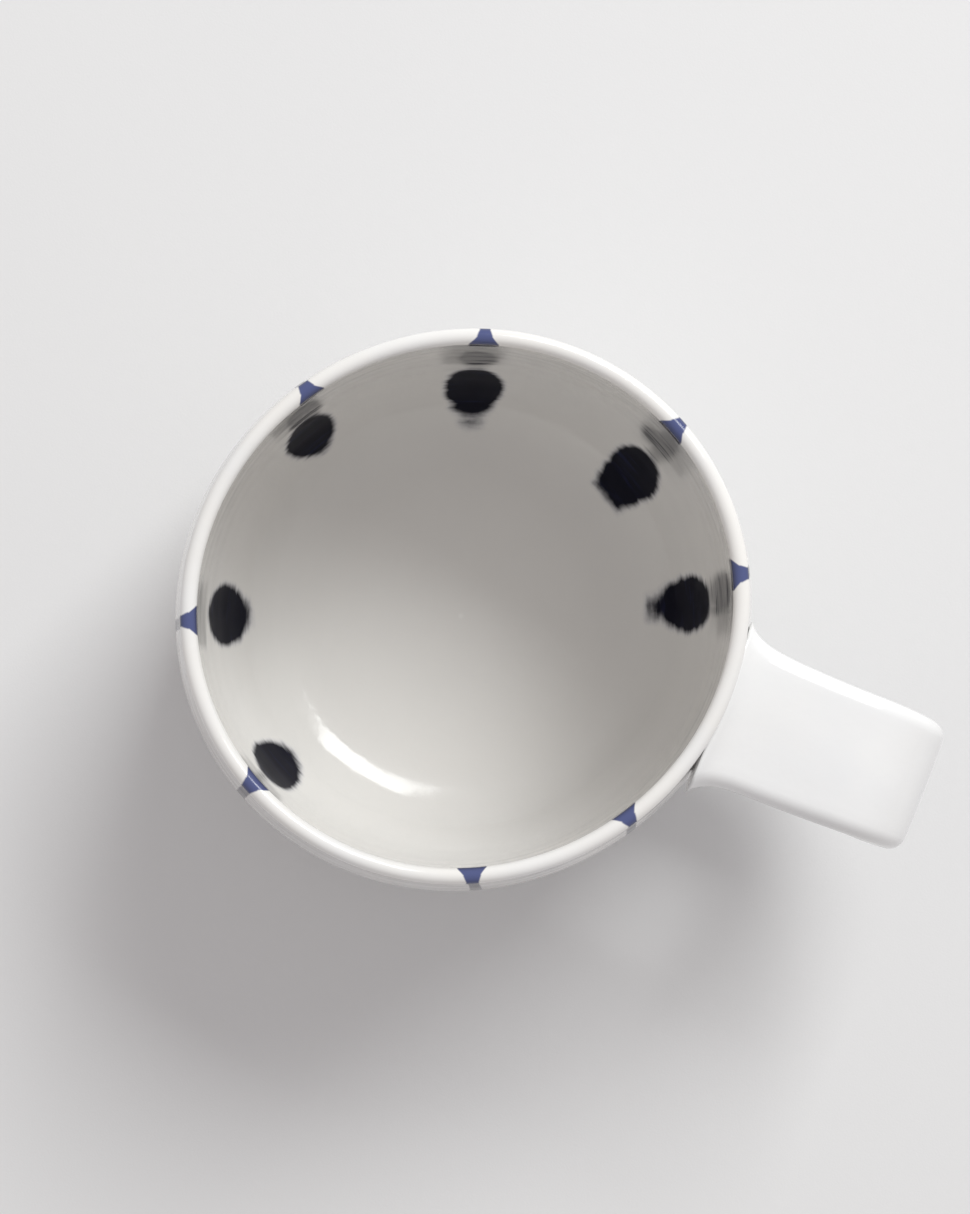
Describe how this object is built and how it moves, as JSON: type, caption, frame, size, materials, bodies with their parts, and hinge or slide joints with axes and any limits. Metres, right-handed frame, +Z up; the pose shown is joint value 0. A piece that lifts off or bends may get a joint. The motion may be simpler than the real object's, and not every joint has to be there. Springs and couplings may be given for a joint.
{
  "type": "stoneware mug",
  "caption": "Hand-made white stoneware mug: barrelled cup on a trimmed foot ring, wide flat strap handle, cobalt blue stems over the lip that end in round brush dots.",
  "frame": {"origin": "on the cup's axis, in the plane that the foot ring stands on", "axes": "+Z up along the cup's axis, +X from the axis towards the handle"},
  "size_m": [0.1273, 0.094, 0.0701],
  "materials": {
    "stoneware_clay": "bare fired stoneware, fine sandy matt surface",
    "white_glaze": "glossy opaque warm white glaze",
    "cobalt_brushwork": "cobalt pigment sunk into the white glaze, glossy"
  },
  "bodies": {
    "root": {"cup_body": "stoneware_clay", "handle": "stoneware_clay", "handle_glaze": "white_glaze", "inner_dot_1": "cobalt_brushwork", "inner_dot_2": "cobalt_brushwork", "inner_dot_3": "cobalt_brushwork", "inner_dot_4": "cobalt_brushwork", "inner_dot_7": "cobalt_brushwork", "inner_dot_8": "cobalt_brushwork", "inner_glaze": "white_glaze", "lip_stem_1": "cobalt_brushwork", "lip_stem_2": "cobalt_brushwork", "lip_stem_3": "cobalt_brushwork", "lip_stem_4": "cobalt_brushwork", "lip_stem_5": "cobalt_brushwork", "lip_stem_6": "cobalt_brushwork", "lip_stem_7": "cobalt_brushwork", "lip_stem_8": "cobalt_brushwork", "lower_slip_fillet": "white_glaze", "outer_dot_1": "cobalt_brushwork", "outer_dot_2": "cobalt_brushwork", "outer_dot_3": "cobalt_brushwork", "outer_dot_4": "cobalt_brushwork", "outer_dot_5": "cobalt_brushwork", "outer_dot_6": "cobalt_brushwork", "outer_dot_7": "cobalt_brushwork", "outer_dot_8": "cobalt_brushwork", "outer_glaze": "white_glaze", "outer_stem_1": "cobalt_brushwork", "outer_stem_2": "cobalt_brushwork", "outer_stem_3": "cobalt_brushwork", "outer_stem_4": "cobalt_brushwork", "outer_stem_5": "cobalt_brushwork", "outer_stem_6": "cobalt_brushwork", "outer_stem_7": "cobalt_brushwork", "outer_stem_8": "cobalt_brushwork", "upper_slip_fillet": "white_glaze"}
  },
  "joints": []
}
